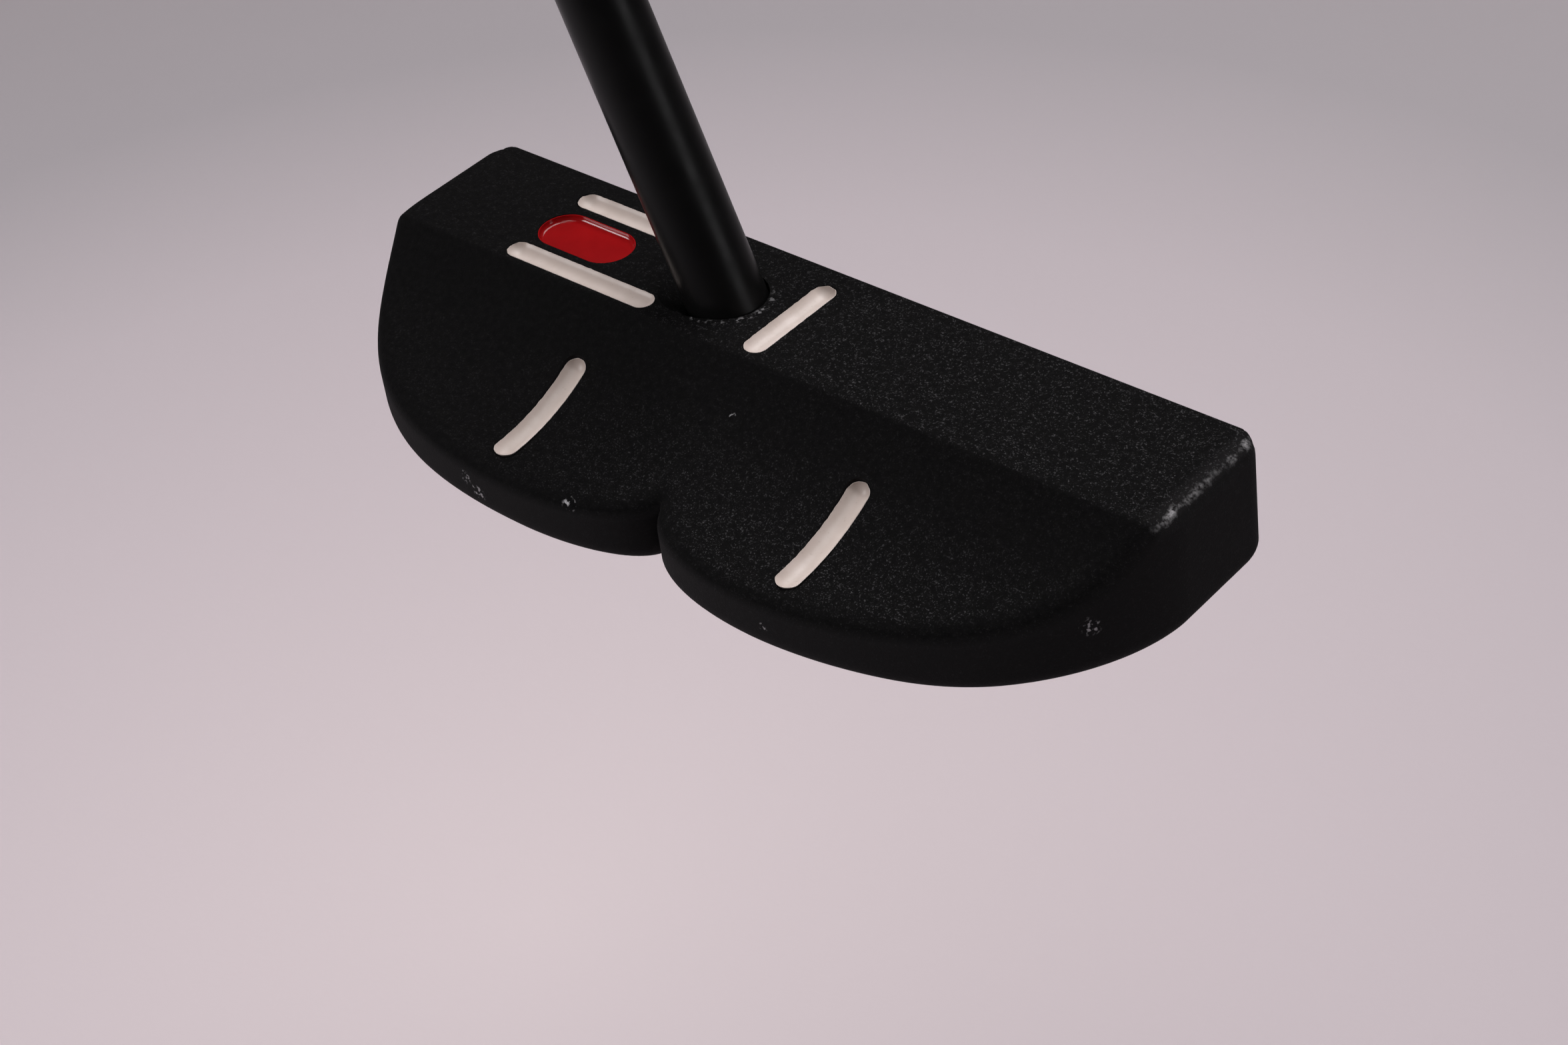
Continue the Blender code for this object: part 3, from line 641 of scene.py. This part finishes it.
def lobe_side(fullness):
    """Half the head from above, anticlockwise on the toe side, from the notch to the front edge."""
    notch_angle = math.degrees(math.acos(LOBE_X / NOTCH_WIDTH))
    notch_centre = (LOBE_X, NOTCH_RISE - HEAD_DEPTH)
    inner = arc(notch_centre, (NOTCH_WIDTH, NOTCH_RISE), 180 + notch_angle, 270, NOTCH_STEPS)
    lobe_width = HALF_LENGTH - LOBE_X
    lobe_depth = HEAD_DEPTH - LOBE_START
    outer = []
    for x, v in arc((0, 0), (1, 1), 270, 360, LOBE_STEPS):
        sideways = lobe_width * abs(x) ** (2 / fullness)
        back = lobe_depth * abs(v) ** (2 / fullness)
        outer.append((LOBE_X + sideways, -LOBE_START - back))
    corner_centre = (HALF_LENGTH - CORNER_RADIUS, -CORNER_RADIUS)
    corner = arc(corner_centre, (CORNER_RADIUS, CORNER_RADIUS), 0, 90, CORNER_STEPS)
    return inner + outer[1:] + corner


def head_outline():
    """The head from above, anticlockwise from the notch between the lobes."""
    toe_half = lobe_side(TOE_FULLNESS)
    heel_half = [(-x, v) for x, v in reversed(lobe_side(HEEL_FULLNESS)[1:])]
    return [(0, toe_half[0][1])] + toe_half[1:] + heel_half


def nearest_side(x, v, sides):
    """How far a plan point is inside the outline, and how much the side nearest to it faces forward."""
    point = Vector((x, v))
    nearest = math.inf
    forward = 0
    for start, along, square in sides:
        share = max(0, min(1, (point - start).dot(along) / square))
        distance = (point - start - along * share).length_squared
        if distance < nearest:
            nearest = distance
            forward = max(0, -along.x / math.sqrt(square))
    return math.sqrt(nearest), forward


def rolled(distance, radius):
    """The drop of a rounded edge at a distance in from it."""
    if distance >= radius:
        return 0
    return radius - math.sqrt(radius ** 2 - (radius - distance) ** 2)


def top_height(v):
    """Flat band, then the scoop: an arc from the band's rear edge, which is slightly rounded."""
    steepest = math.acos(RISE / SCOOP_RADIUS)
    roll_start = -BAND_DEPTH + BAND_EDGE_RADIUS * math.tan(steepest / 2)
    roll_end = roll_start - BAND_EDGE_RADIUS * math.sin(steepest)
    if v >= roll_start:
        return TOP
    if v > roll_end:
        return TOP - BAND_EDGE_RADIUS + math.sqrt(BAND_EDGE_RADIUS ** 2 - (roll_start - v) ** 2)
    return TOP + RISE - math.sqrt(SCOOP_RADIUS ** 2 - (v - SCOOP_V) ** 2)


def rim_radius(v, forward):
    """The top edge is crisp along the face, round at heel and toe, and fullest on the lobes."""
    share = max(0, min(1, (-BAND_DEPTH - v) / RIM_BLEND))
    round_edge = END_EDGE_RADIUS + (RIM_RADIUS - END_EDGE_RADIUS) * share
    return round_edge + (FACE_EDGE_RADIUS - round_edge) * forward ** 6


def sole_height(x, v):
    """Flat in the middle, rising towards heel, toe and rear."""
    ends = max(0, abs(x) - SOLE_FLAT) / (HALF_LENGTH - SOLE_FLAT)
    rear = max(0, REAR_FLAT - v) / (REAR_FLAT + HEAD_DEPTH)
    return SOLE_CAMBER * ends ** 2 + REAR_CAMBER * rear ** 2


def cutting_planes():
    """Where the blank is cut, so that its surface can follow the band's edge, scoop and sole."""
    planes = []
    for i in range(BAND_EDGE_STEPS):
        v = -BAND_DEPTH + BAND_EDGE_RADIUS * (i / BAND_EDGE_STEPS - 0.5)
        planes.append(((0, v, 0), (0, 1, 0)))
    for i in range(SCOOP_STEPS):
        v = -BAND_DEPTH - (HEAD_DEPTH - BAND_DEPTH) * i / SCOOP_STEPS
        planes.append(((0, v, 0), (0, 1, 0)))
    for i in range(CAMBER_STEPS):
        x = SOLE_FLAT + (HALF_LENGTH - SOLE_FLAT) * i / CAMBER_STEPS
        planes += [((x, 0, 0), (1, 0, 0)), ((-x, 0, 0), (1, 0, 0))]
    return planes


def head_blank():
    """An extruded outline with rolled edges, scooped behind the band and cambered below."""
    outline = head_outline()
    bm = prism(outline, 0, TOP)
    bmesh.ops.recalc_face_normals(bm, faces=bm.faces)
    for face in [f for f in bm.faces if abs(f.normal.z) > 0.5]:
        done = 0
        for i in range(1, RIM_STEPS + 1):
            inset = SOLE_EDGE_RADIUS * (i / RIM_STEPS) ** 2
            bmesh.ops.inset_region(bm, faces=[face], thickness=inset - done, use_even_offset=True)
            done = inset
    for point, normal in cutting_planes():
        bmesh.ops.bisect_plane(bm, geom=everything(bm), plane_co=point, plane_no=normal, dist=5 * MERGE)
    corners = [Vector(point) for point in outline]
    sides = [(a, b - a, (b - a).length_squared) for a, b in zip(corners, corners[1:] + corners[:1])]
    for vertex in bm.verts:
        x, v, z = vertex.co
        distance, forward = nearest_side(x, v, sides)
        if z > TOP / 2:
            vertex.co.z = top_height(v) - rolled(distance, rim_radius(v, forward))
        else:
            vertex.co.z = sole_height(x, v) + rolled(distance, SOLE_EDGE_RADIUS)
        near_face = max(0, 1 + v / CORNER_RADIUS)
        vertex.co.y = v + FACE_Y + near_face * (TOP - vertex.co.z) * math.tan(LOFT)
    return bm


# ------------------------------------------------------------------ painted lines and dot

def slot_ball():
    """The ball cutter's radius, and how high its centre runs above the surface."""
    radius = ((LINE_WIDTH / 2) ** 2 + LINE_DEPTH ** 2) / (2 * LINE_DEPTH)
    return radius, radius - LINE_DEPTH


def ball_slot(length, radius, lift, stations):
    """A ball-ended slot along Y, its axis at a height above the surface."""
    bm = bmesh.new()
    end_radius = radius / math.sin(math.pi * (BALL_RINGS // 2) / BALL_RINGS)
    bmesh.ops.create_uvsphere(bm, u_segments=BALL_SEGMENTS, v_segments=BALL_RINGS, radius=end_radius)
    bmesh.ops.rotate(bm, verts=bm.verts, matrix=Matrix.Rotation(math.pi / 2, 3, "X"))
    long_edges = [e for e in bm.edges if e.verts[0].co.y * e.verts[1].co.y < 0]
    for vertex in bm.verts:
        vertex.co.y += math.copysign(length / 2 - end_radius, vertex.co.y)
    bmesh.ops.subdivide_edges(bm, edges=long_edges, cuts=stations - 1)
    bmesh.ops.translate(bm, verts=bm.verts, vec=(0, 0, lift))
    return bm


def paint_dish(length, stations, seed):
    """The paint in a slot: a thin concave coat whose edge wanders a little."""
    radius, lift = slot_ball()
    bm = ball_slot(length - 2 * PAINT_COAT, radius - PAINT_COAT, lift, stations)
    level = {"plane_co": (0, 0, -PAINT_SINK), "plane_no": (0, 0, 1)}
    bmesh.ops.bisect_plane(bm, geom=everything(bm), dist=MERGE, clear_outer=True, **level)
    for vertex in bm.verts:
        if vertex.is_boundary:
            wander = noise.noise(vertex.co * WANDER_SCALE + Vector((seed, 0, 0)))
            vertex.co.z += PAINT_WANDER * wander
            vertex.co.xy *= 1 + WANDER_SHARE * wander
    bmesh.ops.reverse_faces(bm, faces=bm.faces)
    bmesh.ops.solidify(bm, geom=bm.faces[:], thickness=-PAINT_WALL)
    return bm


def lobe_angles():
    """Where a lobe's line starts and ends round the scoop's axis."""
    return [math.asin((v - SCOOP_V) / SCOOP_RADIUS) for v in LOBE_LINE_ENDS]


def bend_on_lobe(bm, x):
    """From a slot's own space to the scoop, bent round the scoop's axis."""
    start, end = lobe_angles()
    half = (end - start) * SCOOP_RADIUS / 2
    for vertex in bm.verts:
        along = vertex.co.y
        angle = (start + end) / 2 + along / SCOOP_RADIUS
        reach = SCOOP_RADIUS - vertex.co.z + LOBE_SLOT_TILT * along / half
        vertex.co.x += x
        vertex.co.y = FACE_Y + SCOOP_V + reach * math.sin(angle)
        vertex.co.z = TOP + RISE - reach * math.cos(angle)


def make_flat_line(name, centre, length, turn, seed, bare_end=0):
    """A line on the band, whose paint may stop short at one end; returns the slot's cutter."""
    slot = ball_slot(length, *slot_ball(), 1)
    dish = paint_dish(length - bare_end, FLAT_STATIONS, seed)
    bmesh.ops.translate(dish, verts=dish.verts, vec=(0, -bare_end / 2, 0))
    spot = Matrix.Translation((centre[0], centre[1] + FACE_Y, TOP))
    for bm in (slot, dish):
        bmesh.ops.transform(bm, matrix=spot @ Matrix.Rotation(turn, 4, "Z"), verts=bm.verts)
    fit(add_mesh(name + "_paint", dish, WHITE), name)
    return add_mesh(name + "_slot", slot)


def make_lobe_line(name, x, seed):
    """A line that runs down a lobe's scoop; returns the slot's cutter."""
    start, end = lobe_angles()
    length = (end - start) * SCOOP_RADIUS
    slot = ball_slot(length, *slot_ball(), LOBE_STATIONS)
    dish = paint_dish(length, LOBE_STATIONS, seed)
    for bm in (slot, dish):
        bend_on_lobe(bm, x)
    fit(add_mesh(name + "_paint", dish, WHITE), name)
    return add_mesh(name + "_slot", slot)


def make_dot():
    """The red dot: paint that dips inside a flat rim; returns the pocket's cutter."""
    pocket = prism(stadium(DOT_CENTRE, DOT_LENGTH, DOT_WIDTH), TOP - DOT_DEPTH, TOP + POCKET_ABOVE)
    outline = stadium(DOT_CENTRE, DOT_LENGTH - DOT_GAP, DOT_WIDTH - DOT_GAP)
    dot = prism(outline, TOP - DOT_DEPTH - DOT_GAP, TOP - DOT_SINK)
    lid = max(dot.faces, key=lambda face: face.calc_center_median().z)
    bmesh.ops.inset_region(dot, faces=[lid], thickness=DOT_RIM)
    for step in range(1, DOT_DIP_STEPS + 1):
        previous = math.pi / 2 * (step - 1) / DOT_DIP_STEPS
        angle = math.pi / 2 * step / DOT_DIP_STEPS
        drop = DOT_DIP * (math.sin(angle) - math.sin(previous))
        inward = DOT_DIP_WIDTH * (math.cos(previous) - math.cos(angle))
        bmesh.ops.inset_region(dot, faces=[lid], thickness=inward)
        bmesh.ops.translate(dot, verts=lid.verts, vec=(0, 0, -drop))
    fit(add_mesh("sight_dot_paint", dot, RED, sharp=50), "sight_dot")
    return add_mesh("dot_pocket", pocket)


# ------------------------------------------------------------------ openings of the head

def shaft_matrix():
    """From the shaft's own space, Z running up it, to the club's."""
    entry = Vector((SHAFT_X, SHAFT_V + FACE_Y, TOP))
    return Matrix.Translation(entry) @ Matrix.Rotation(LIE - math.pi / 2, 4, "Y")


def bore_cutter():
    """The shaft's bore, with a flared mouth."""
    profile = [
        (0, BORE_FLARE),
        (BORE_RADIUS + BORE_FLARE, BORE_FLARE),
        (BORE_RADIUS, BORE_FLARE_START),
        (BORE_RADIUS, BORE_BOTTOM),
        (0, BORE_BOTTOM),
    ]
    return add_mesh("bore", spin_profile(profile, ROUND_STEPS, shaft_matrix()))


def recess_cutter():
    """The recess that holds the sole plate."""
    x_range = (PLATE_LOW.x - RECESS_GAP, PLATE_HIGH.x + RECESS_GAP)
    y_range = (PLATE_LOW.y - RECESS_GAP, PLATE_HIGH.y + RECESS_GAP)
    outline = rounded_box(x_range, y_range, RECESS_CORNER)
    return add_mesh("recess", prism(outline, RECESS_BOTTOM, PLATE_HIGH.z))


def seat_cutter(side):
    """The round seat of a weight, towards the heel (-1) or the toe (1)."""
    sole = sole_height(WEIGHT_X, WEIGHT_V)
    spot = Matrix.Translation((side * WEIGHT_X, WEIGHT_V + FACE_Y, sole))
    profile = [(0, SEAT_TOP), (SEAT_RADIUS, SEAT_TOP), (SEAT_RADIUS, SEAT_BOTTOM), (0, SEAT_BOTTOM)]
    return add_mesh("seat", spin_profile(profile, ROUND_STEPS, spot))


def make_head(cutters):
    head = add_mesh("head_casting", head_blank(), STEEL_COAT)
    apply_cuts(head, cutters)
    smooth(head.data, 32)
    fit(head, "head_body")


# ------------------------------------------------------------------ shaft and grip

def shaft_radius(s):
    """Parallel tip, even taper, parallel butt."""
    share = max(0, min(1, (s - TAPER_START) / (TAPER_END - TAPER_START)))
    return TIP_RADIUS + (BUTT_RADIUS - TIP_RADIUS) * share


def make_shaft():
    """A thin tube, turned from its outside and inside profiles."""
    taper = [TAPER_END - (TAPER_END - TAPER_START) * i / TAPER_STEPS for i in range(TAPER_STEPS + 1)]
    stations = [SHAFT_TOP] + taper + [SHAFT_TIP]
    profile = [(shaft_radius(s), s) for s in stations]
    profile += [(shaft_radius(s) - SHAFT_WALL, s) for s in reversed(stations)]
    tube = spin_profile(profile, SHAFT_SEGMENTS, shaft_matrix(), closed=True)
    fit(add_mesh("shaft_tube", tube, SHAFT_COAT), "shaft")


def grip_section(share):
    """Half width, half depth and the flat's distance, up the grip from 0 to 1."""
    width = 0.0104 + 0.0026 * share
    bulge = math.sin(math.pi * min(1, max(0, (share - 0.35) / 0.65)))
    depth = 0.0106 + 0.0034 * share + 0.0008 * bulge
    flat = 0.0094 + 0.0021 * share
    return width, depth, flat


def seam_share(along, angle):
    """1 in the middle of the wrap's helical seam, fading to 0 beside it."""
    turn = (along / WRAP_PITCH + angle / math.tau) % 1
    return math.exp(-((min(turn, 1 - turn) * WRAP_PITCH / SEAM_WIDTH) ** 2))


def make_grip():
    """A moulded wrap: round at the back with a helical seam, flat in front for the thumbs."""
    bottom = CLUB_TOP - GRIP_LENGTH
    length = GRIP_LENGTH - CAP_GAP
    bm = bmesh.new()
    unit = {"radius1": 1, "radius2": 1, "depth": 1, "cap_ends": True}
    bmesh.ops.create_cone(bm, segments=GRIP_SEGMENTS, **unit)
    long_edges = [e for e in bm.edges if abs(e.verts[0].co.z - e.verts[1].co.z) > 0.5]
    bmesh.ops.subdivide_edges(bm, edges=long_edges, cuts=GRIP_RINGS - 1)
    for vertex in bm.verts:
        unit_x, unit_y, height = vertex.co
        share = height + 0.5
        along = length * share
        width, depth, flat = grip_section(share)
        seam = seam_share(along, math.atan2(unit_y, unit_x))
        edge = min(along, length - along)
        fade = min(1, max(0, (edge - SEAM_START) / SEAM_FADE))
        collar = COLLAR_DEPTH * math.exp(-((along - COLLAR_PLACE) / COLLAR_WIDTH) ** 2)
        sink = SEAM_DEPTH * seam * fade + rolled(edge, GRIP_EDGE_RADIUS) + collar
        vertex.co.x = min(unit_x * depth, flat) - sink * unit_x
        vertex.co.y = unit_y * (width - sink)
        vertex.co.z = bottom + along
    bmesh.ops.transform(bm, matrix=shaft_matrix(), verts=bm.verts)
    fit(add_mesh("grip_wrap", bm, GRIP_RUBBER, sharp=40), "grip")


# ------------------------------------------------------------------ building the club

STEEL_COAT = coated_steel()
SHAFT_COAT = shaft_coat()
WHITE = white_enamel()
RED = red_enamel()
STEEL = turned_steel()
ANODISED = black_anodised()
GLUE = glue()
GRIP_RUBBER = moulded_rubber("grip_rubber", 0.010, 900)
CAP_PLASTIC = moulded_rubber("cap_plastic", 0.012, 2200)
PLUG_RUBBER = moulded_rubber("plug_rubber", 0.020, 1500)
TAPE = paper_tape()

front_centre = (sum(LINE_ENDS) / 2, FRONT_LINE_V)
rear_centre = (sum(LINE_ENDS) / 2, REAR_LINE_V)
line_length = LINE_ENDS[1] - LINE_ENDS[0]
along_band = math.pi / 2
aim_centre = (0, sum(AIM_LINE_ENDS) / 2)
aim_length = AIM_LINE_ENDS[1] - AIM_LINE_ENDS[0]
cutters = [
    make_flat_line("sight_line_front", front_centre, line_length, along_band, seed=0, bare_end=BARE_END),
    make_flat_line("sight_line_rear", rear_centre, line_length, along_band, seed=7),
    make_flat_line("aim_line_band", aim_centre, aim_length, turn=0, seed=14),
    make_lobe_line("aim_line_heel_lobe", -LOBE_LINE_X, seed=31),
    make_lobe_line("aim_line_toe_lobe", LOBE_LINE_X, seed=38),
    make_dot(),
    bore_cutter(),
    recess_cutter(),
    seat_cutter(-1),
    seat_cutter(1),
]
make_head(cutters)
make_shaft()
make_grip()

# Pieces whose modelled shape is right keep it and take their finish
finishes = {
    "shaft_epoxy": GLUE,
    "sole_bond": GLUE,
    "shaft_tip_plug": PLUG_RUBBER,
    "grip_tape": TAPE,
    "grip_cap": CAP_PLASTIC,
    "sole_plate": ANODISED,
    "sole_weight_heel": STEEL,
    "sole_weight_toe": STEEL,
    "sole_screw_1": STEEL,
    "sole_screw_2": STEEL,
    "sole_screw_3": STEEL,
    "sole_screw_4": STEEL,
}
for name, material in finishes.items():
    for material_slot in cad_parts[name].material_slots:
        material_slot.material = material

# ------------------------------------------------------------------ studio

floor_mesh = bmesh.new()
bmesh.ops.create_grid(floor_mesh, x_segments=1, y_segments=1, size=FLOOR_SIZE)
bmesh.ops.translate(floor_mesh, verts=floor_mesh.verts, vec=(0, 0, -FLOOR_DROP))
add_mesh("floor", floor_mesh, pale_floor())
make_camera()
softbox("main", azimuth=186, elevation=57, distance=1.3, size=0.9, power=11.5, colour=(1.0, 0.98, 0.98))
softbox("overhead", azimuth=60, elevation=82, distance=1.1, size=0.9, power=6.5, colour=(1.0, 0.98, 0.99))
softbox("left", azimuth=315, elevation=18, distance=1.3, size=0.5, power=8.0, colour=(1.0, 0.98, 1.0))
softbox("right", azimuth=100, elevation=8, distance=1.3, size=0.5, power=1.6, colour=(1.0, 0.98, 1.0))
make_sky()
bpy.context.scene.view_settings.view_transform = "Standard"
